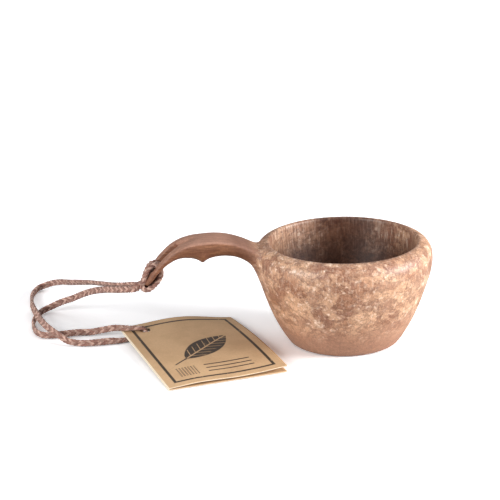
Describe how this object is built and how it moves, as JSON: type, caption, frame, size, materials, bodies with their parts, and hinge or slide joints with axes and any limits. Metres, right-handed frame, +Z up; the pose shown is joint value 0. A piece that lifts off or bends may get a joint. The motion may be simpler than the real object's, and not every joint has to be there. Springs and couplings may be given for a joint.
{
  "type": "kuksa drinking cup",
  "caption": "Round kuksa drinking cup with a small flat base, an arched handle, finger notch and eyelet, a cord wrist lanyard and a folded card tag.",
  "frame": {"origin": "centre of the cup's flat base, on the surface that it stands on", "axes": "+Z up, -X out along the handle, +Y to the far side when the handle points to the left"},
  "size_m": [0.2227, 0.1701, 0.0628],
  "materials": {
    "wood": "satin, mottled burl figure",
    "lace": "flat braided lace",
    "card": "uncoated kraft card"
  },
  "bodies": {
    "cup": {"cup": "wood", "cord_hitch": "lace"},
    "lanyard": {"cord_rear_strand": "lace", "cord_tag_bight": "lace", "cord_front_strand": "lace"},
    "tag": {"tag_back_leaf": "card", "tag_front_leaf": "card"}
  },
  "joints": [
    {"name": "lanyard_swing", "type": "hinge", "parent": "cup", "child": "lanyard", "pos_m": [-0.1126, 0, 0.0366], "axis": [0, 0, 1], "range_deg": [-25, 10]},
    {"name": "tag_turn", "type": "hinge", "parent": "lanyard", "child": "tag", "pos_m": [-0.1087, 0.0155, 0.003], "axis": [0.0093, -0.0351, 0.9993], "range_deg": [-30, 5]}
  ]
}
